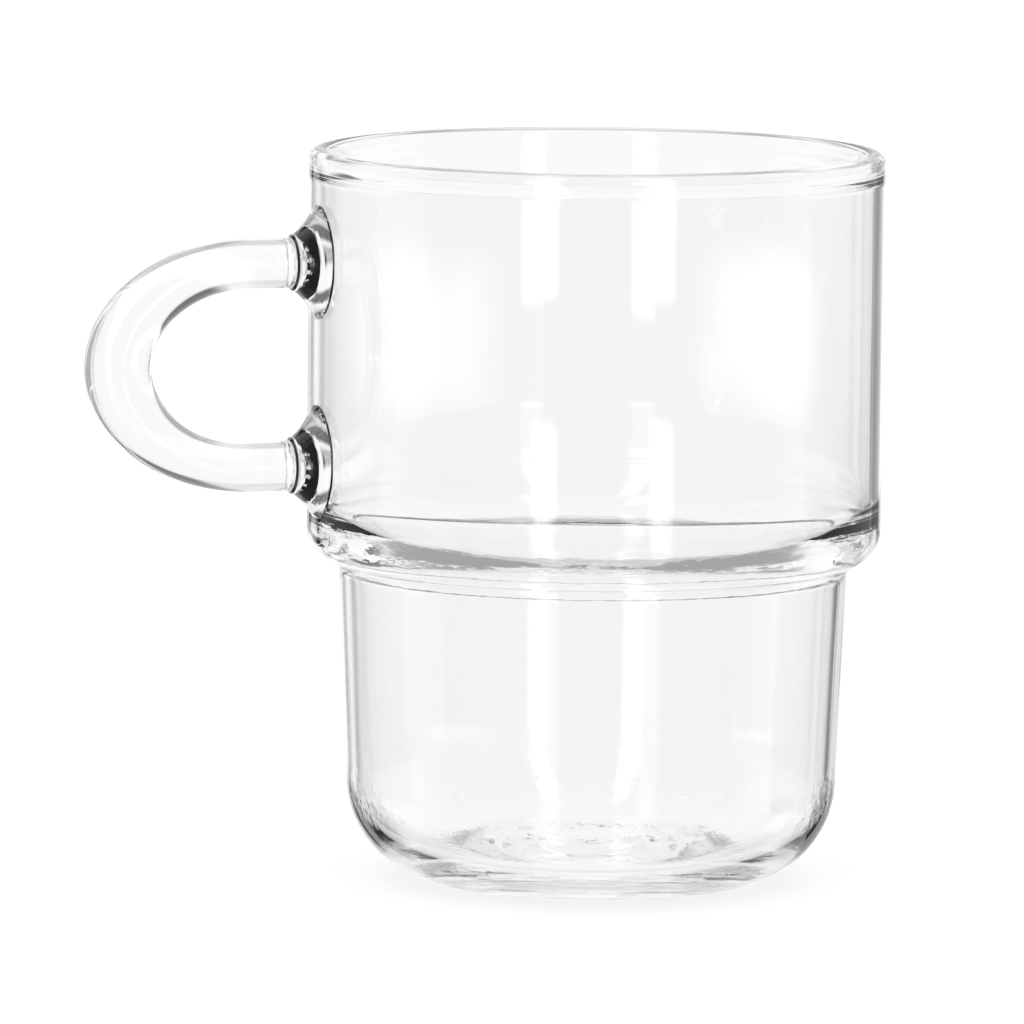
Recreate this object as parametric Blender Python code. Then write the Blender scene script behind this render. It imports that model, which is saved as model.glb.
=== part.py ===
"""Stacking glass mug: a stepped turned body and a bent rod handle on two flared weld bosses.

Metres, +Z up. The handle points along -X and the origin lies under the middle of the whole mug.
"""
import math

import bmesh
import bpy

for thing in list(bpy.data.objects):
    bpy.data.objects.remove(thing, do_unlink=True)

MM = 0.001

# Outside of the body
cup_height = 97.0 * MM
rim_radius = 38.0 * MM
upper_draft = 0.1 * MM          # the upper wall draws in this much down to the shoulder
shoulder_height = 42.5 * MM     # underside of the shoulder round
shoulder_round = 4.6 * MM
shoulder_fillet = 2.0 * MM      # hollow where the shoulder meets the lower wall
waist_radius = 33.65 * MM       # lower wall, just below the shoulder
lower_draft = 1.25 * MM         # the lower wall draws in this much down to the base round
base_round_width = 13.5 * MM
base_round_height = 13.0 * MM
stand_ring_width = 4.0 * MM     # flat ring that the mug stands on
kick_depth = 2.0 * MM           # hollow of the underside

# Inside of the body; the blown wall follows the outside, the lip is fire-polished into a bead
wall = 1.55 * MM
rim_bead = 3.0 * MM             # width of the bead
bead_round = 1.4 * MM           # height of the bead's rounded top
bead_flank = 0.7 * MM           # upright inner side of the bead
bead_fade = 1.8 * MM            # height over which the bead runs out into the wall
step_rise = 4.4 * MM            # inner step starts this far above the outer shoulder round
step_hollow = 7.7 * MM
step_edge = 5.8 * MM
base_thickness = 3.4 * MM       # glass in the middle of the bottom
bottom_round = 10.0 * MM
crown_height = 2.0 * MM         # pushed-up middle of the inner bottom
crown_inset = 1.6 * MM          # its edge lies this far inside the stand ring's outer edge

# Handle and its weld bosses
upper_weld_drop = 14.2 * MM     # rim to the upper leg of the rod
lower_weld_rise = 9.0 * MM      # top of the shoulder round to the lower leg of the rod
handle_projection = 31.4 * MM   # wall to the outside of the loop
straight_leg = 9.2 * MM         # wall to the start of the bend
leg_height, leg_width = 6.6 * MM, 7.4 * MM
bend_height, bend_width = 8.4 * MM, 8.0 * MM
rod_lip = 0.3 * MM              # upset lip at each end of the rod
rod_lip_length = 0.9 * MM
boss_standoff = 3.2 * MM        # wall to the weld ridge
ridge_proud = 0.4 * MM          # weld ridge stands out from the rod
boss_edge = 0.25 * MM           # thickness of the boss's feathered rim
upper_flare_up, upper_flare_down = 5.4 * MM, 4.6 * MM
lower_flare_up, lower_flare_down = 5.0 * MM, 3.4 * MM
flare_side = 3.0 * MM
flare_curve = 1.5               # 1 is a plain cone, 2 hugs the wall
weld_gap = 0.3 * MM             # clearance at every glass to glass face

body_segments = 76
rod_sides = 20
boss_sides = 28

# Places that follow from the sizes
shoulder_top = shoulder_height + shoulder_round
upper_leg_z = cup_height - upper_weld_drop
lower_leg_z = shoulder_top + lower_weld_rise
reach = rim_radius + handle_projection
axis_x = (reach - rim_radius) / 2
base_radius = waist_radius - lower_draft
ring_radius = base_radius - base_round_width


def arc(centre, size, start, end, steps):
    """Points on an elliptical arc in the (radius, height) plane, angles in degrees."""
    points = []
    for i in range(steps + 1):
        a = math.radians(start + (end - start) * i / steps)
        points.append((centre[0] + size[0] * math.cos(a), centre[1] + size[1] * math.sin(a)))
    return points


def outer_profile():
    """Outside of the body, from the rim's outer tangent down to the middle of the underside."""
    shoulder_r = rim_radius - upper_draft
    shoulder_c = (shoulder_r - shoulder_round, shoulder_top)
    fillet_r = waist_radius + shoulder_fillet
    across = fillet_r - shoulder_c[0]
    down = math.sqrt(max((shoulder_round + shoulder_fillet) ** 2 - across ** 2, 0.0))
    fillet_c = (fillet_r, shoulder_top - down)
    turn = math.degrees(math.atan2(down, across))
    line = arc(shoulder_c, (shoulder_round, shoulder_round), 0, -turn, 8)
    line += arc(fillet_c, (shoulder_fillet, shoulder_fillet), 180 - turn, 180, 5)[1:]
    line += arc((ring_radius, base_round_height), (base_round_width, base_round_height), 0, -90, 12)
    inner_ring_r = ring_radius - stand_ring_width
    for share in (1.0, 0.75, 0.5, 0.25, 0.0):
        line.append((inner_ring_r * share, kick_depth * (1 - share ** 2)))
    return line


def blend(start, end, steps):
    """Points between two (radius, height) places on a curve that leaves and arrives without a corner."""
    points = []
    for i in range(1, steps):
        share = i / steps
        ease = (1 - math.cos(math.pi * share)) / 2
        points.append((start[0] + (end[0] - start[0]) * share, start[1] + (end[1] - start[1]) * ease))
    return points


def inner_profile():
    """Inside of the body, from the middle of the bottom up to the top of the upper wall."""
    step_r = rim_radius - wall - upper_draft
    lower_r = waist_radius - wall
    corner_r = base_radius - wall - bottom_round
    hollow_c = (step_r - step_hollow, shoulder_top + step_rise)
    edge_x = lower_r + step_edge
    across = hollow_c[0] - edge_x
    down = math.sqrt(max((step_hollow + step_edge) ** 2 - across ** 2, 0.0))
    edge_c = (edge_x, hollow_c[1] - down)
    turn = math.degrees(math.atan2(down, across))
    crown = kick_depth + base_thickness
    floor = crown - crown_height
    crown_r = ring_radius - crown_inset
    line = [(0.0, crown), (crown_r, crown)]
    line += blend((crown_r, crown), (corner_r, floor), 4)
    line += arc((corner_r, floor + bottom_round), (bottom_round, bottom_round), -90, 0, 9)
    line += arc(edge_c, (step_edge, step_edge), 180, turn, 5)
    line += arc(hollow_c, (step_hollow, step_hollow), turn - 180, 0, 6)[1:]
    return line


def lip_profile():
    """Bead of the rim, from the inner wall over the top to the outer wall."""
    shoulder_z = cup_height - bead_round
    flank_z = shoulder_z - bead_flank
    wall_end = (rim_radius - wall, flank_z - bead_fade)
    flank = (rim_radius - rim_bead, flank_z)
    # the same blend as the bottom's, turned so that it leaves and arrives upright
    run_out = [(r, z) for z, r in blend(wall_end[::-1], flank[::-1], 5)]
    top = arc((rim_radius - rim_bead / 2, shoulder_z), (rim_bead / 2, bead_round), 180, 0, 10)
    return [wall_end] + run_out + [flank] + top


def body_profile():
    return inner_profile() + lip_profile() + outer_profile()


def glass(name, colour):
    material = bpy.data.materials.new(name)
    material.use_nodes = True
    shader = material.node_tree.nodes["Principled BSDF"]
    shader.inputs["Base Color"].default_value = (*colour, 1.0)
    shader.inputs["Roughness"].default_value = 0.03
    shader.inputs["Metallic"].default_value = 0.0
    shader.inputs["IOR"].default_value = 1.52
    shader.inputs["Transmission Weight"].default_value = 1.0
    return material


def finish(bm, name, material):
    bmesh.ops.recalc_face_normals(bm, faces=bm.faces)
    mesh = bpy.data.meshes.new(name)
    bm.to_mesh(mesh)
    bm.free()
    mesh.shade_smooth()
    piece = bpy.data.objects.new(name, mesh)
    piece.data.materials.append(material)
    bpy.context.collection.objects.link(piece)
    piece.parent = mug
    return piece


def turned(name, line, material):
    """Closed body turned about the cup's upright axis."""
    bm = bmesh.new()
    verts = [bm.verts.new((r, 0.0, z)) for r, z in line]
    edges = [bm.edges.new(pair) for pair in zip(verts, verts[1:])]
    bmesh.ops.spin(bm, geom=verts + edges, cent=(0, 0, 0), axis=(0, 0, 1), angle=2 * math.pi,
                   steps=body_segments, use_merge=True)
    bmesh.ops.remove_doubles(bm, verts=bm.verts, dist=0.00001)
    piece = finish(bm, name, material)
    piece.location.x = axis_x
    return piece


def lofted(name, rings, material, start_point=None):
    """Closed skin over rings of equal count; an end is a flat cap, or a fan to start_point."""
    bm = bmesh.new()
    loops = [[bm.verts.new(p) for p in ring] for ring in rings]
    for one, two in zip(loops, loops[1:]):
        for i in range(len(one)):
            j = (i + 1) % len(one)
            bm.faces.new((one[i], one[j], two[j], two[i]))
    if start_point:
        tip = bm.verts.new(start_point)
        for i in range(len(loops[0])):
            bm.faces.new((tip, loops[0][(i + 1) % len(loops[0])], loops[0][i]))
    else:
        bm.faces.new(loops[0][::-1])
    bm.faces.new(loops[-1])
    piece = finish(bm, name, material)
    piece.location.x = axis_x
    return piece


def rod_stations():
    """Centre (reach from the axis, height), direction of the section's height, and half sizes."""
    bend_x = rim_radius + straight_leg
    bend_c = (bend_x, (upper_leg_z + lower_leg_z) / 2)
    bend_size = (reach - bend_height / 2 - bend_x, (upper_leg_z - lower_leg_z) / 2)
    end_x = rim_radius + boss_standoff + weld_gap
    legs = [(end_x, rod_lip), (end_x + rod_lip_length, 0.0)]
    stations = [((x, upper_leg_z), (0.0, 1.0), leg_height / 2 + lip, leg_width / 2 + lip) for x, lip in legs]
    bends = 30
    for i in range(bends + 1):
        a = math.radians(90 - 180 * i / bends)
        centre = (bend_c[0] + bend_size[0] * math.cos(a), bend_c[1] + bend_size[1] * math.sin(a))
        out = (bend_size[1] * math.cos(a), bend_size[0] * math.sin(a))
        length = math.hypot(*out)
        share = math.cos(a) ** 2
        stations.append((centre, (out[0] / length, out[1] / length),
                         (leg_height + (bend_height - leg_height) * share) / 2,
                         (leg_width + (bend_width - leg_width) * share) / 2))
    stations += [((x, lower_leg_z), (0.0, -1.0), leg_height / 2 + lip, leg_width / 2 + lip)
                 for x, lip in reversed(legs)]
    return stations


def rod_rings():
    rings = []
    for (x, z), (out_x, out_z), half_height, half_width in rod_stations():
        ring = []
        for i in range(rod_sides):
            a = 2 * math.pi * i / rod_sides
            away = half_height * math.cos(a)
            ring.append((-(x + out_x * away), half_width * math.sin(a), z + out_z * away))
        rings.append(ring)
    return rings


def boss_rings(leg_z, flare_up, flare_down):
    """Rings from the middle of the seat on the wall out to the weld ridge."""
    seat_r = rim_radius + weld_gap
    ridge_x = rim_radius + boss_standoff
    ridge_h = leg_height / 2 + ridge_proud
    ridge_w = leg_width / 2 + ridge_proud
    rise, lean = (flare_up + flare_down) / 2, (flare_up - flare_down) / 2

    def ring(share, flare, size=1.0):
        half_h, half_w = (ridge_h + rise * flare) * size, (ridge_w + flare_side * flare) * size
        points = []
        for i in range(boss_sides):
            a = 2 * math.pi * i / boss_sides
            y = half_w * math.sin(a)
            on_wall = math.sqrt(seat_r ** 2 - y ** 2)
            x = on_wall + (ridge_x - on_wall) * share
            points.append((-x, y, leg_z + lean * flare + half_h * math.cos(a)))
        return points

    edge = boss_edge / (ridge_x - seat_r)
    rings = [ring(0.0, 1.0, size) for size in (0.35, 0.7, 1.0)]
    steps = 8
    for i in range(steps + 1):
        out = i / steps
        rings.append(ring(edge + (1 - edge) * out, (1 - out) ** flare_curve))
    return rings, (-seat_r, 0.0, leg_z + lean)


mug = bpy.data.objects.new("mug", None)
bpy.context.collection.objects.link(mug)

turned("glass_body", body_profile(), glass("body_glass", (0.95, 0.96, 0.96)))
lofted("handle", rod_rings(), glass("handle_glass", (0.96, 0.97, 0.97)))
for name, leg_z, up, down in (("upper_weld_boss", upper_leg_z, upper_flare_up, upper_flare_down),
                              ("lower_weld_boss", lower_leg_z, lower_flare_up, lower_flare_down)):
    rings, seat = boss_rings(leg_z, up, down)
    lofted(name, rings, glass(name + "_glass", (0.93, 0.94, 0.94)), seat)
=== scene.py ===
"""Studio view of the clear glass stacking mug: turned body, bent rod handle and two weld bosses."""
import math

import bmesh
import bpy
from mathutils import Matrix, Vector


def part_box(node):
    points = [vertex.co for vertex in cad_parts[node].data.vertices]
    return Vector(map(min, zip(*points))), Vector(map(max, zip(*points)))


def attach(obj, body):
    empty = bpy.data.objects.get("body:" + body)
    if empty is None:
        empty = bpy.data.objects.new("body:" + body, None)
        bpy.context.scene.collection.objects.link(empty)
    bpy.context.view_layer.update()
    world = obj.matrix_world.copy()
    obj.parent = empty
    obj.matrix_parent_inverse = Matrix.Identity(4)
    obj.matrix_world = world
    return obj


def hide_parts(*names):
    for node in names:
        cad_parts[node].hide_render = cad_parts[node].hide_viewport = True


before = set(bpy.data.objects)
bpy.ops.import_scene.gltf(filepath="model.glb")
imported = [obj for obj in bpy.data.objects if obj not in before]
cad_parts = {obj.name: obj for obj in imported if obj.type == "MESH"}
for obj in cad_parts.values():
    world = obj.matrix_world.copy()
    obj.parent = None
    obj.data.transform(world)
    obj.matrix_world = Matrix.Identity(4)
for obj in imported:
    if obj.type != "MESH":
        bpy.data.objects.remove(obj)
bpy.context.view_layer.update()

MM = 0.001
LEFT, RIGHT = -1, 1

# Material slots of each piece
GLASS, WELD = 0, 1

# Driving sizes from the frame
body_low, body_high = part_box("glass_body")
axis_x = (body_low[0] + body_high[0]) / 2
rim_radius = (body_high[0] - body_low[0]) / 2
cup_height = body_high[2]

# Radii and heights of the turned body
wall = 1.55 * MM
rim_bead = 2.4 * MM
bead_start_z = cup_height - 3.1 * MM
bead_full_z = cup_height - 1.8 * MM
wall_foot_radius = rim_radius - 0.02 * MM
shoulder_top = 47.1 * MM
shoulder_corner_z = 43.94 * MM
shoulder_inside_z = 48.3 * MM
waist_radius = 33.65 * MM
waist_z = 42.31 * MM
waist_inside_radius = 32.12 * MM
waist_inside_z = 43.9 * MM
base_radius = 31.86 * MM
base_inside_radius = 30.5 * MM
bottom_z = 3.2 * MM
stand_ring_radius = 14.8 * MM
kick_radius = 6.0 * MM
kick_rise = 2.0 * MM

# Raised middle of the bottom inside, with the plunger's rings
crown_rise = 3.0 * MM
crown_edge = 11.0 * MM
crown_foot = 20.2 * MM
ring_swell = 0.05 * MM
ring_pitch = 3.0 * MM
ring_row = 0.4 * MM
ring_rows = 51

# Roundings of the turned body's corners, each with its bevel steps
base_inside_round = (10.2 * MM, 28)
waist_inside_round = (2.4 * MM, 16)
shoulder_inside_round = (3.2 * MM, 18)
bead_start_round = (0.9 * MM, 8)
bead_full_round = (0.8 * MM, 8)
lip_inside_round = (1.0 * MM, 12)
lip_outside_round = (1.3 * MM, 12)
shoulder_round = (3.15 * MM, 16)
waist_round = (1.36 * MM, 10)
base_round = (12.98 * MM, 30)
stand_ring_round = (3.0 * MM, 12)
kick_round = (5.5 * MM, 12)
sharp = (0, 0)

# Fineness of the turned body's mesh
long_run = 2.5 * MM
end_row_gap = 0.3 * MM
tall_run = 20.0 * MM
wall_rows = 52
turn_steps = 240
merge_gap = 0.002 * MM

# Handle and its welds
upper_leg_z = cup_height - 14.2 * MM
lower_leg_z = shoulder_top + 9.0 * MM
bend_x = axis_x - rim_radius - 9.2 * MM
ridge_x = axis_x - rim_radius - 3.6 * MM
rod_radius = 3.3 * MM
rod_half_width = 3.75 * MM
rod_widen = rod_half_width / rod_radius
rod_points = 64
bend_stretch = 1.335
bend_steps = 96
leg_rows = 3
leg_reach = 2 * rod_radius
ridge_proud = 0.40 * MM
swell_length = 0.4 * MM
swell_steps = 8

# Bosses: node, height of the leg, flare above and below the rod
bosses = (("upper_weld_boss", upper_leg_z, 3.8 * MM, 3.8 * MM),
          ("lower_weld_boss", lower_leg_z, 4.2 * MM, 3.4 * MM))
flare_side = 2.0 * MM
flare_steps = 14
flare_curve = 1.5
flare_edge = 0.08

# Oval of the wall under a boss: where it is looked for, and how the faces round it are eased
oval_side = 0.8 * rim_radius
outer_skin = 0.6 * MM
ease_from, ease_to = 0.55, 1.5
ease_rounds = 4
ease_share = 0.5

# Glass
glass_ior = 1.52
body_tint = (0.997, 0.998, 0.998)
boss_tint = (0.995, 0.996, 0.996)
body_waviness, rod_waviness, boss_waviness = 0.03, 0.08, 0.04
wave_scale, wave_detail = 55.0, 1.5
wave_stretch = (2.0, 2.0, 0.5)
wave_depth = 0.6 * MM
smear_scale, smear_detail = 210.0, 4.0
smear_from, smear_full = 0.55, 0.8
smear_roughness = 0.02
even_grain, flat_grain = (1.0, 1.0, 1.0), (0.7, 0.7, 3.0)
grain_detail = 3.0
grain_depth = 0.3 * MM
band_core, band_reach = 0.3, 1.7

# Mottled bands of the body: middle height, half height, strength, scale of the grain and its stretch
stand_ring_band = (0.0, 0.5 * MM, 0.3, 750.0, even_grain)
base_band = (12.0 * MM, 2.6 * MM, 0.15, 520.0, even_grain)
shoulder_band = (44.5 * MM, 3.2 * MM, 0.3, 170.0, flat_grain)

# Camera, fitted to the photograph's view, with its distances in metres
view_turn = math.radians(-17.0)
eye_distance = 1.301
eye_height = 0.207
focal_px = 9900.7
image_px = 1024
sensor_mm = 36.0
aim_right = -0.0108
aim_height = 0.0488
image_roll = 0.010
farthest_seen = 50.0

# Studio in reflections: levels of white, bearings from straight behind the mug, elevations, in degrees
sweep_level = 1.0
room_from, room_full, room_dark = 70.0, 110.0, 0.6
ceiling_from, ceiling_full, ceiling_grey = 45.0, 70.0, 0.85
ground_full, ground_from, ground_grey = -44.0, -32.0, 0.35
ground_behind, ground_beside = 28.0, 45.0

# Drapes beside the sweep: side, near and far bearing, middle and half elevation, fade there, darkness
right_wall_drapes = ((RIGHT, 15.5, 31.5, 0.0, 7.15, 0.15, 0.7),
                     (RIGHT, 26.5, 33.0, -15.1, 7.95, 0.15, 0.9),
                     (RIGHT, 8.0, 25.0, -15.1, 7.95, 0.15, 0.3))
left_wall_drapes = ((LEFT, 17.0, 22.0, -8.0, 15.0, 3.0, 0.85),
                    (LEFT, 33.5, 37.8, -7.5, 5.0, 3.0, 0.5))
boss_drapes = ((LEFT, 31.0, 58.0, -30.0, 8.0, 3.0, 0.85),
               (LEFT, 28.0, 52.0, 23.0, 7.0, 3.0, 0.85))
wide_drapes = tuple((side, near, 85.0, middle, 3.0, 3.0, 0.5)
                    for middle in (-7.5, -14.0) for side, near in ((RIGHT, 33.0), (LEFT, 31.0)))
drapes = right_wall_drapes + left_wall_drapes + boss_drapes + wide_drapes
drape_near_fade, drape_far_fade = 1.0, 3.0

# Soft boxes: middle bearing, half width, level
soft_boxes = ((-90.0, 19.0, 1.2), (112.0, 23.0, 1.3))
box_middle, box_half = -5.9, 0.44
box_core, box_reach = 0.3, 1.5

# Strip lights: middle bearing, half width
strips = ((-180 + 20.0, 4.4), (180 - 27.0, 4.2))
strip_level, strip_fade = 3.0, 2.0
gap_middle, gap_half, gap_fade, gap_share = -6.09, 0.37, 0.06, 0.04
low_full, low_from, low_share = -9.0, -7.2, 0.22

# Dark flags seen straight through the glass: middle and half elevation, darkness beside and behind the mug
flags = ((40.0, 15.0, 0.85, 0.2), (-44.0, 8.0, 0.6, 0.3))
flag_fade = 3.0
flag_behind, flag_beside = 6.0, 14.0
darkest_flag = 0.02

# Overhead light and floor
overhead_level = 1.3
overhead_spread = math.radians(70)
overhead_tilt = (math.radians(12), math.radians(-8), 0)
floor_radius, floor_sides = 8.0, 96
floor_matt, floor_glow = 0.2, 0.83

# Light paths inside the glass
glass_bounces, mirror_bounces = 32, 16


def bottom_inside():
    """Inside of the bottom: a faintly raised middle with the plunger's rings, then flat out to the round."""
    rows = []
    for i in range(ring_rows):
        radius = i * ring_row
        fade = min(1.0, max(0.0, (radius - crown_edge) / (crown_foot - crown_edge)))
        crown = crown_rise * (1 + math.cos(math.pi * fade)) / 2
        rings = ring_swell * math.cos(2 * math.pi * radius / ring_pitch) * (1 - fade)
        rows.append((radius, bottom_z + crown + rings, *sharp))
    return rows + [(base_inside_radius, bottom_z, *base_inside_round)]


def mug_corners():
    """Corners of the body's profile, up the inside to the lip and down the outside to the push-up."""
    return bottom_inside() + [
        (waist_inside_radius, waist_inside_z, *waist_inside_round),
        (wall_foot_radius - wall, shoulder_inside_z, *shoulder_inside_round),
        (rim_radius - wall, bead_start_z, *bead_start_round),
        (rim_radius - rim_bead, bead_full_z, *bead_full_round),
        (rim_radius - rim_bead, cup_height, *lip_inside_round),
        (rim_radius, cup_height, *lip_outside_round),
        (wall_foot_radius, shoulder_corner_z, *shoulder_round),
        (waist_radius, waist_z, *waist_round),
        (base_radius, 0.0, *base_round),
        (stand_ring_radius, 0.0, *stand_ring_round),
        (kick_radius, kick_rise, *kick_round),
        (0.0, kick_rise, *sharp),
    ]


def wire_profile(corners):
    """Wire of (radius, height, rounding, steps) corners in the handle's plane, rounded by bevels."""
    bm = bmesh.new()
    verts = [bm.verts.new((axis_x + radius, 0.0, height)) for radius, height, _, _ in corners]
    for pair in zip(verts, verts[1:]):
        bm.edges.new(pair)
    for vert, (_, _, rounding, steps) in zip(verts, corners):
        if rounding:
            bmesh.ops.bevel(bm, geom=[vert], offset=rounding, offset_type='OFFSET', segments=steps,
                            profile=0.5, affect='VERTICES', material=-1, clamp_overlap=False)
    return bm


def add_end_rows(bm):
    """A row close to each end of a straight run, which keeps the wall straight in its reflections."""
    for edge in [e for e in bm.edges if e.calc_length() > long_run]:
        foot, head = edge.verts
        step = (head.co - foot.co).normalized() * end_row_gap
        low = bm.verts.new(foot.co + step)
        high = bm.verts.new(head.co - step)
        bm.edges.remove(edge)
        for pair in ((foot, low), (low, high), (high, head)):
            bm.edges.new(pair)


def shade_smooth(bm):
    for face in bm.faces:
        face.smooth = True


def turned_body():
    """The profile, with rows on the outer wall for the welds, spun about the mug's axis."""
    bm = wire_profile(mug_corners())
    add_end_rows(bm)
    outer = axis_x + rim_radius - wall / 2
    tall = [e for e in bm.edges if e.calc_length() > tall_run and min(v.co.x for v in e.verts) > outer]
    bmesh.ops.subdivide_edges(bm, edges=tall, cuts=wall_rows)
    bmesh.ops.spin(bm, geom=bm.verts[:] + bm.edges[:], cent=(axis_x, 0, 0), axis=(0, 0, 1),
                   angle=2 * math.pi, steps=turn_steps, use_merge=True)
    bmesh.ops.remove_doubles(bm, verts=bm.verts, dist=merge_gap)
    bmesh.ops.recalc_face_normals(bm, faces=bm.faces)
    shade_smooth(bm)
    return bm


def on_wall(y, z):
    """Point of the outer wall on the handle's side."""
    share = (z - shoulder_corner_z) / (cup_height - shoulder_corner_z)
    radius = wall_foot_radius + (rim_radius - wall_foot_radius) * share
    return Vector((axis_x - math.sqrt(radius ** 2 - y * y), y, z))


def weld_patch(bm, centre_z, half_height, half_width):
    """Marks the oval of the outer wall under a boss and draws its edge onto the true oval."""
    def share(point):
        return math.hypot(point.y / half_width, (point.z - centre_z) / half_height)

    def outside(vert):
        return math.hypot(vert.co.x - axis_x, vert.co.y) > rim_radius - outer_skin

    near = [f for f in bm.faces if f.calc_center_median().x < axis_x - oval_side
            and all(outside(v) for v in f.verts)]
    patch = [f for f in near if share(f.calc_center_median()) < 1.0]
    inside = set(patch)
    rim_edges = {e for f in patch for e in f.edges if any(g not in inside for g in e.link_faces)}
    rim_verts = {v for e in rim_edges for v in e.verts}
    for vert in rim_verts:
        turn = math.atan2((vert.co.z - centre_z) / half_height, vert.co.y / half_width)
        vert.co = on_wall(half_width * math.cos(turn), centre_z + half_height * math.sin(turn))
    loose = {v for f in near for v in f.verts if ease_from < share(v.co) < ease_to} - rim_verts
    for _ in range(ease_rounds):
        bmesh.ops.smooth_vert(bm, verts=list(loose), factor=ease_share, use_axis_x=True, use_axis_y=True,
                              use_axis_z=True)
        for vert in loose:
            vert.co = on_wall(vert.co.y, vert.co.z)
    for face in patch:
        face.material_index = WELD
    return patch


def draw_out(bm, edges):
    """Extrudes a ring of edges and gives its new points, edges and faces."""
    made = bmesh.ops.extrude_edge_only(bm, edges=edges)["geom"]
    kinds = (bmesh.types.BMVert, bmesh.types.BMEdge, bmesh.types.BMFace)
    return [[g for g in made if isinstance(g, kind)] for kind in kinds]


def close_end(bm, edges):
    """Closes a ring with weld faces and keeps its edge sharp."""
    made = bmesh.ops.edgeloop_fill(bm, edges=edges, mat_nr=WELD)
    for edge in edges:
        edge.smooth = False
    poked = bmesh.ops.poke(bm, faces=made["faces"])
    for face in poked["faces"]:
        face.material_index = WELD


def rod_ring(bm):
    """The rod's oval, upright across the leg."""
    made = bmesh.ops.create_circle(bm, cap_ends=False, segments=rod_points, radius=rod_radius,
                                   matrix=Matrix.Rotation(math.radians(90), 4, 'Y'))
    bmesh.ops.scale(bm, vec=(1, rod_widen, 1), verts=made["verts"])
    return made["verts"]


def run_out_leg(bm, leg_z):
    """Runs one end of the bend out as a straight leg that swells to the weld ridge."""
    edges = [e for e in bm.edges if e.is_boundary and abs(e.verts[0].co.z - leg_z) < leg_reach]
    straight = ridge_x - bend_x - swell_length
    runs = [straight / leg_rows] * leg_rows + [swell_length / swell_steps] * swell_steps
    size_before = 1.0
    for i, run in enumerate(runs):
        verts, edges, _ = draw_out(bm, edges)
        bmesh.ops.translate(bm, vec=(run, 0, 0), verts=verts)
        swing = math.radians(90 * max(0, i + 1 - leg_rows) / swell_steps)
        size = 1 + ridge_proud / rod_radius * (1 - math.cos(swing))
        bmesh.ops.scale(bm, vec=(1, size / size_before, size / size_before), verts=verts,
                        space=Matrix.Translation((0, 0, -leg_z)))
        size_before = size
    close_end(bm, edges)


def bent_rod():
    """Half ring spun about the loop's middle, stretched to the loop's depth, then run out as two legs."""
    bm = bmesh.new()
    middle_z = (upper_leg_z + lower_leg_z) / 2
    ring = rod_ring(bm)
    bmesh.ops.translate(bm, vec=(bend_x, 0, upper_leg_z), verts=ring)
    bmesh.ops.spin(bm, geom=ring + bm.edges[:], cent=(bend_x, 0, middle_z), axis=(0, 1, 0),
                   angle=-math.pi, steps=bend_steps, use_merge=False)
    bmesh.ops.scale(bm, vec=(bend_stretch, 1, 1), verts=bm.verts,
                    space=Matrix.Translation((-bend_x, 0, 0)))
    for leg_z in (upper_leg_z, lower_leg_z):
        run_out_leg(bm, leg_z)
    bmesh.ops.recalc_face_normals(bm, faces=bm.faces)
    shade_smooth(bm)
    return bm


def rod_end_points(rod, leg_z):
    """The rod's end oval at a leg, so that the boss meets it point for point."""
    ends = {v for e in rod.edges if not e.smooth for v in e.verts if abs(v.co.z - leg_z) < leg_reach}
    return sorted((v.co.copy() for v in ends), key=lambda p: math.atan2(p.z - leg_z, p.y))


def flared_boss(patch, leg_z, lean, end_points):
    """Boss drawn out of the wall's oval: a hollow flare up to a sharp weld ridge, then the rod's oval."""
    bm = bmesh.new()
    twin = {v: bm.verts.new(v.co) for v in dict.fromkeys(v for f in patch for v in f.verts)}
    for face in patch:
        made = bm.faces.new([twin[v] for v in reversed(face.verts)])
        made.material_index = WELD
    seat = bm.verts.layers.float_vector.new("seat")
    edges = [e for e in bm.edges if e.is_boundary]
    for vert in bm.verts:
        vert[seat] = vert.co
    for edge in edges:
        edge.smooth = False
    high = max(v.co.z for e in edges for v in e.verts) - leg_z - lean
    wide = max(v.co.y for e in edges for v in e.verts)
    ridge_high = rod_radius + ridge_proud
    ridge_wide = ridge_high * rod_widen
    for i in range(1, flare_steps):
        out = i / flare_steps
        # the oval shrinks faster near the wall than near the ridge, which hollows the flare
        shrink = 1 - (1 - max(0.0, (out - flare_edge) / (1 - flare_edge))) ** flare_curve
        verts, edges, faces = draw_out(bm, edges)
        for face in faces:
            face.material_index = GLASS
        for vert in verts:
            start = Vector(vert[seat])
            turn = math.atan2((start.z - leg_z - lean) / high, start.y / wide)
            goal = Vector((ridge_x, ridge_wide * math.cos(turn), leg_z + ridge_high * math.sin(turn)))
            vert.co = (start.x + (goal.x - start.x) * out, start.y + (goal.y - start.y) * shrink,
                       start.z + (goal.z - start.z) * shrink)
    end_ring = [bm.verts.new(p) for p in end_points]
    end_edges = [bm.edges.new(pair) for pair in zip(end_ring, end_ring[1:] + end_ring[:1])]
    for face in bmesh.ops.bridge_loops(bm, edges=edges + end_edges)["faces"]:
        face.material_index = GLASS
    close_end(bm, end_edges)
    bm.verts.layers.float_vector.remove(seat)
    shade_smooth(bm)
    bmesh.ops.recalc_face_normals(bm, faces=bm.faces)
    return bm


def finish_piece(bm, name, nodes, materials):
    mesh = bpy.data.meshes.new(name)
    bm.to_mesh(mesh)
    bm.free()
    piece = bpy.data.objects.new(name, mesh)
    bpy.context.collection.objects.link(piece)
    for material in materials:
        mesh.materials.append(material)
    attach(piece, "root")
    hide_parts(*nodes)


def add_node(tree, kind, sockets, **settings):
    """A node with its settings, whose sockets hold a value or are fed by another node."""
    node = tree.nodes.new(kind)
    for setting, value in settings.items():
        setattr(node, setting, value)
    for socket, value in sockets.items():
        if isinstance(value, bpy.types.NodeSocket):
            tree.links.new(value, node.inputs[socket])
        else:
            node.inputs[socket].default_value = value
    return node


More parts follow.
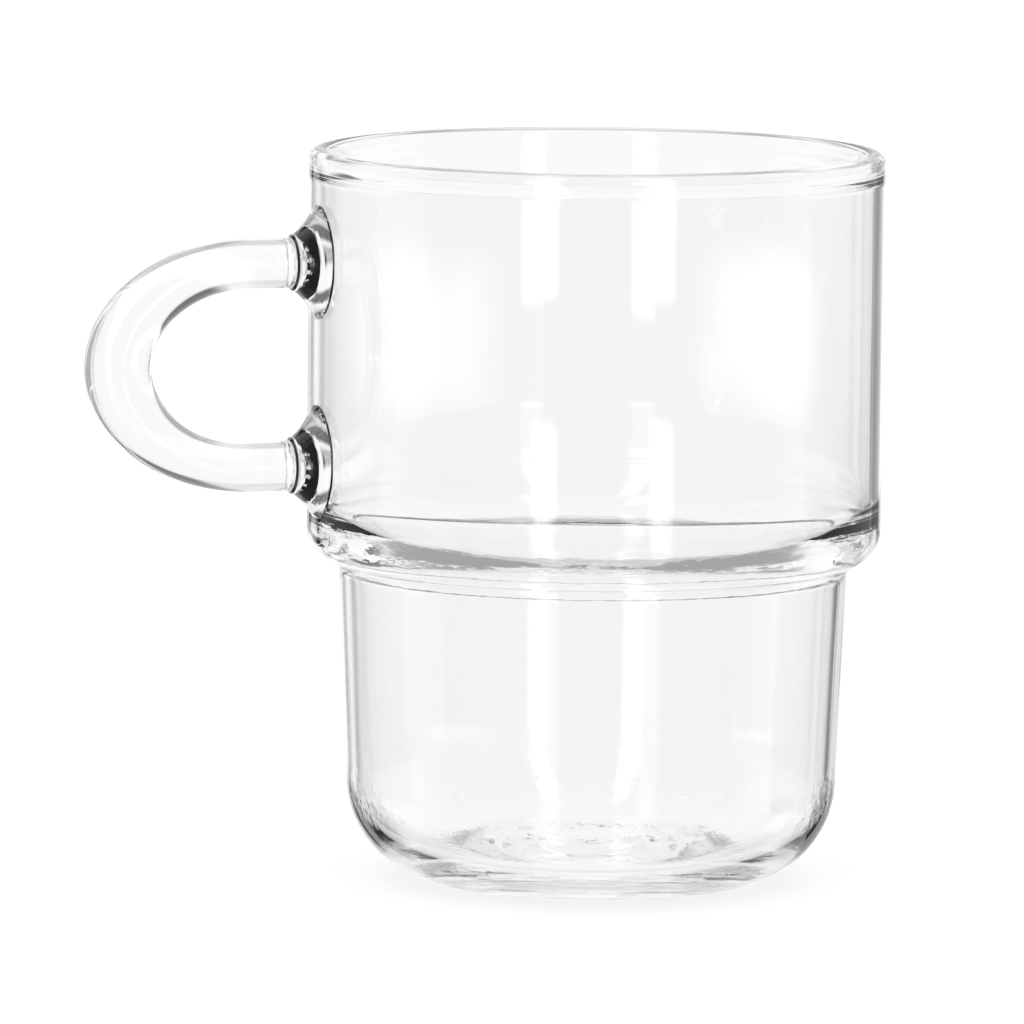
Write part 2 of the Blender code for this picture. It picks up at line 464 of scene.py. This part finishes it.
def work_out(tree, operation, *values):
    return add_node(tree, "ShaderNodeMath", dict(enumerate(values)), operation=operation).outputs[0]


def distance(tree, value, middle):
    return work_out(tree, 'ABSOLUTE', work_out(tree, 'SUBTRACT', value, middle))


def ramp(tree, value, low, high, start, end):
    """Goes smoothly from start to end while the value goes from low to high."""
    sockets = {"Value": value, "From Min": low, "From Max": high, "To Min": start, "To Max": end}
    return add_node(tree, "ShaderNodeMapRange", sockets, interpolation_type='SMOOTHSTEP').outputs["Result"]


def mix(tree, factor, first, second):
    return add_node(tree, "ShaderNodeMix", {"Factor": factor, "A": first, "B": second}).outputs["Result"]


def stretched_noise(tree, place, stretch, scale, detail):
    mapped = add_node(tree, "ShaderNodeMapping", {"Vector": place, "Scale": stretch}).outputs["Vector"]
    sockets = {"Vector": mapped, "Scale": scale, "Detail": detail}
    return add_node(tree, "ShaderNodeTexNoise", sockets).outputs["Fac"]


def mould_waves(tree, place, waviness):
    """Faint waves that the mould left, longer up the wall than round it."""
    waves = stretched_noise(tree, place, wave_stretch, wave_scale, wave_detail)
    sockets = {"Strength": waviness, "Distance": wave_depth, "Height": waves}
    return add_node(tree, "ShaderNodeBump", sockets).outputs["Normal"]


def mottled_band(tree, place, normal, middle, half, strength, scale, stretch):
    """Grain in a band of the glass, added to the surface so far."""
    height = add_node(tree, "ShaderNodeSeparateXYZ", {"Vector": place}).outputs["Z"]
    band = ramp(tree, distance(tree, height, middle), half * band_core, half * band_reach, strength, 0.0)
    grain = stretched_noise(tree, place, stretch, scale, grain_detail)
    sockets = {"Strength": band, "Distance": grain_depth, "Height": grain, "Normal": normal}
    return add_node(tree, "ShaderNodeBump", sockets).outputs["Normal"]


def polish_smears(tree, place):
    """Roughness of the faint smears in the fire polish."""
    sockets = {"Vector": place, "Scale": smear_scale, "Detail": smear_detail}
    smears = add_node(tree, "ShaderNodeTexNoise", sockets).outputs["Fac"]
    sockets = {"Value": smears, "From Min": smear_from, "From Max": smear_full,
               "To Min": 0.0, "To Max": smear_roughness}
    return add_node(tree, "ShaderNodeMapRange", sockets).outputs["Result"]


def clear_glass(name, tint, waviness, bands=()):
    """Soda glass: a neutral tint, faint waves from the mould, smears in the polish, mottled bands."""
    material = bpy.data.materials.new(name)
    material.use_nodes = True
    tree = material.node_tree
    place = tree.nodes.new("ShaderNodeTexCoord").outputs["Object"]
    normal = mould_waves(tree, place, waviness)
    for band in bands:
        normal = mottled_band(tree, place, normal, *band)
    shader = tree.nodes["Principled BSDF"]
    shader.inputs["Transmission Weight"].default_value = 1.0
    shader.inputs["IOR"].default_value = glass_ior
    shader.inputs["Base Color"].default_value = (*tint, 1.0)
    tree.links.new(polish_smears(tree, place), shader.inputs["Roughness"])
    tree.links.new(normal, shader.inputs["Normal"])
    return material


def fused_weld():
    """Inside of a weld, where glass runs into glass and nothing shows."""
    material = bpy.data.materials.new("fused_weld")
    material.use_nodes = True
    nodes, links = material.node_tree.nodes, material.node_tree.links
    nodes.remove(nodes["Principled BSDF"])
    clear = nodes.new("ShaderNodeBsdfTransparent")
    links.new(clear.outputs["BSDF"], nodes["Material Output"].inputs["Surface"])
    return material


def dress_mug():
    weld = fused_weld()
    bands = (stand_ring_band, base_band, shoulder_band)
    body_glass = clear_glass("clear_body_glass", body_tint, body_waviness, bands)
    rod_glass = clear_glass("clear_rod_glass", body_tint, rod_waviness)
    boss_glass = clear_glass("clear_boss_glass", boss_tint, boss_waviness)
    body = turned_body()
    rod = bent_rod()
    for node, leg_z, above, below in bosses:
        lean = (above - below) / 2
        high = rod_radius + ridge_proud + (above + below) / 2
        wide = rod_radius * rod_widen + ridge_proud + flare_side
        patch = weld_patch(body, leg_z + lean, high, wide)
        boss = flared_boss(patch, leg_z, lean, rod_end_points(rod, leg_z))
        finish_piece(boss, node.replace("weld_boss", "boss_flare"), [node], [boss_glass, weld])
    finish_piece(rod, "bent_rod_handle", ["handle"], [rod_glass, weld])
    finish_piece(body, "turned_body", ["glass_body"], [body_glass, weld])


def studio_angles(tree):
    """Bearing and elevation of a direction, in degrees, with the bearing counted from behind the mug."""
    direction = tree.nodes.new("ShaderNodeTexCoord").outputs["Generated"]
    turned = add_node(tree, "ShaderNodeVectorRotate", {"Vector": direction, "Angle": -view_turn},
                      rotation_type='Z_AXIS').outputs["Vector"]
    right, back, up = add_node(tree, "ShaderNodeSeparateXYZ", {"Vector": turned}).outputs
    bearing = work_out(tree, 'MULTIPLY', work_out(tree, 'ARCTAN2', right, back), math.degrees(1))
    elevation = work_out(tree, 'MULTIPLY', work_out(tree, 'ARCSINE', up), math.degrees(1))
    return bearing, elevation


def hang_drapes(tree, level, bearing, elevation):
    """Darkens the sweep by drapes on both sides, each only as tall as the mug needs."""
    for side, near, far, middle, half, fade, darkness in drapes:
        aside = work_out(tree, 'MULTIPLY', bearing, side)
        start = ramp(tree, aside, near - drape_near_fade, near + drape_near_fade, 0.0, -darkness)
        end = ramp(tree, aside, far - drape_far_fade, far + drape_far_fade, 1.0, 0.0)
        tall = ramp(tree, distance(tree, elevation, middle), half - fade, half + fade, 1.0, 0.0)
        dark = work_out(tree, 'MULTIPLY', work_out(tree, 'MULTIPLY', start, end), tall)
        level = work_out(tree, 'ADD', level, dark)
    return level


def set_soft_boxes(tree, level, bearing, elevation):
    """Adds a low soft box on each side, brightest at its middle."""
    rise = distance(tree, elevation, box_middle)
    tall = ramp(tree, rise, box_half * box_core, box_half * box_reach, 1.0, 0.0)
    for middle, half, glow in soft_boxes:
        across = distance(tree, bearing, middle)
        wide = ramp(tree, across, half * box_core, half * box_reach, glow, 0.0)
        level = work_out(tree, 'ADD', level, work_out(tree, 'MULTIPLY', wide, tall))
    return level


def set_strip_lights(tree, level, bearing, elevation):
    """Adds two tall strips beside the camera, each two lamps with a gap between, weaker low down."""
    from_gap = distance(tree, elevation, gap_middle)
    gap = ramp(tree, from_gap, gap_half - gap_fade, gap_half + gap_fade, gap_share, 1.0)
    tall = work_out(tree, 'MULTIPLY', gap, ramp(tree, elevation, low_full, low_from, low_share, 1.0))
    for middle, half in strips:
        across = distance(tree, bearing, middle)
        wide = ramp(tree, across, half - strip_fade, half + strip_fade, strip_level, 0.0)
        level = work_out(tree, 'ADD', level, work_out(tree, 'MULTIPLY', wide, tall))
    return level


def reflected_studio(tree, bearing, aside, elevation):
    """What reflections see: the sweep between its drapes, the lights, a grey ceiling and a dark ground."""
    level = hang_drapes(tree, sweep_level, bearing, elevation)
    level = work_out(tree, 'ADD', level, ramp(tree, aside, room_from, room_full, 0.0, -room_dark))
    level = set_soft_boxes(tree, level, bearing, elevation)
    level = set_strip_lights(tree, level, bearing, elevation)
    level = mix(tree, ramp(tree, elevation, ceiling_from, ceiling_full, 0.0, 1.0), level, ceiling_grey)
    low = ramp(tree, elevation, ground_full, ground_from, 1.0, 0.0)
    beside = ramp(tree, aside, ground_behind, ground_beside, 0.0, 1.0)
    return mix(tree, work_out(tree, 'MULTIPLY', low, beside), level, ground_grey)


def studio_through_glass(tree, aside, elevation):
    """What shows straight through the glass: white, but for dark flags overhead and low behind."""
    level = 1.0
    for middle, half, darkness, darkness_behind in flags:
        tall = ramp(tree, distance(tree, elevation, middle), half - flag_fade, half + flag_fade, 1.0, 0.0)
        dark = ramp(tree, aside, flag_behind, flag_beside, darkness_behind, darkness)
        level = work_out(tree, 'SUBTRACT', level, work_out(tree, 'MULTIPLY', tall, dark))
    return work_out(tree, 'MAXIMUM', level, darkest_flag)


def light_studio():
    """White to the camera, white with flags through the glass, and the whole studio in reflections."""
    world = bpy.data.worlds.new("studio")
    bpy.context.scene.world = world
    world.use_nodes = True
    tree = world.node_tree
    bearing, elevation = studio_angles(tree)
    aside = work_out(tree, 'ABSOLUTE', bearing)
    reflected = reflected_studio(tree, bearing, aside, elevation)
    seen_through = studio_through_glass(tree, aside, elevation)
    path = tree.nodes.new("ShaderNodeLightPath").outputs
    no_reflection = work_out(tree, 'LESS_THAN', path["Glossy Depth"], 0.5)
    through = work_out(tree, 'MULTIPLY', path["Is Transmission Ray"], no_reflection)
    level = mix(tree, through, reflected, seen_through)
    level = mix(tree, path["Is Camera Ray"], level, 1.0)
    sky = tree.nodes["Background"]
    sky.inputs["Color"].default_value = (1, 1, 1, 1)
    tree.links.new(level, sky.inputs["Strength"])


def hang_overhead_light():
    """Wide soft light from above, which gives the mug its shadow and shows in no reflection."""
    lamp = bpy.data.lights.new("overhead_light", 'SUN')
    lamp.angle = overhead_spread
    lamp.energy = overhead_level
    overhead = bpy.data.objects.new("overhead_light", lamp)
    overhead.location = (axis_x, 0, 1)
    overhead.rotation_euler = overhead_tilt
    overhead.visible_glossy = False
    overhead.visible_transmission = False
    bpy.context.collection.objects.link(overhead)


def floor_paint():
    """Pale floor that keeps the mug's shadow for the camera; other rays pass through it to the studio."""
    material = bpy.data.materials.new("pale_floor")
    material.use_nodes = True
    tree = material.node_tree
    tree.nodes.remove(tree.nodes["Principled BSDF"])
    matt = add_node(tree, "ShaderNodeBsdfDiffuse", {"Color": (floor_matt, floor_matt, floor_matt, 1)})
    glow = add_node(tree, "ShaderNodeEmission", {"Strength": floor_glow})
    both = add_node(tree, "ShaderNodeAddShader", {0: matt.outputs["BSDF"], 1: glow.outputs["Emission"]})
    away = tree.nodes.new("ShaderNodeBsdfTransparent")
    path = tree.nodes.new("ShaderNodeLightPath")
    pick = add_node(tree, "ShaderNodeMixShader", {"Fac": path.outputs["Is Camera Ray"],
                                                  1: away.outputs["BSDF"], 2: both.outputs["Shader"]})
    tree.links.new(pick.outputs["Shader"], tree.nodes["Material Output"].inputs["Surface"])
    return material


def lay_floor():
    bm = bmesh.new()
    bmesh.ops.create_circle(bm, cap_ends=True, segments=floor_sides, radius=floor_radius)
    mesh = bpy.data.meshes.new("pale_floor")
    bm.to_mesh(mesh)
    bm.free()
    mesh.materials.append(floor_paint())
    floor = bpy.data.objects.new("pale_floor", mesh)
    bpy.context.collection.objects.link(floor)


def place_camera():
    data = bpy.data.cameras.new("camera")
    data.sensor_width = sensor_mm
    data.lens = focal_px / image_px * sensor_mm
    data.clip_end = farthest_seen
    camera = bpy.data.objects.new("camera", data)
    bpy.context.collection.objects.link(camera)
    right = Vector((math.cos(view_turn), math.sin(view_turn), 0))
    back = Vector((-math.sin(view_turn), math.cos(view_turn), 0))
    foot = Vector((axis_x, 0, 0))
    eye = foot - back * eye_distance + Vector((0, 0, eye_height))
    target = foot + right * aim_right + Vector((0, 0, aim_height))
    aim = (target - eye).to_track_quat('-Z', 'Y').to_matrix().to_4x4()
    camera.matrix_world = Matrix.Translation(eye) @ aim @ Matrix.Rotation(image_roll, 4, 'Z')
    bpy.context.scene.camera = camera


scene = bpy.context.scene
scene.view_settings.view_transform = 'Standard'
scene.cycles.max_bounces = glass_bounces
scene.cycles.transmission_bounces = glass_bounces
scene.cycles.glossy_bounces = mirror_bounces
scene.cycles.transparent_max_bounces = glass_bounces

dress_mug()
light_studio()
hang_overhead_light()
lay_floor()
place_camera()
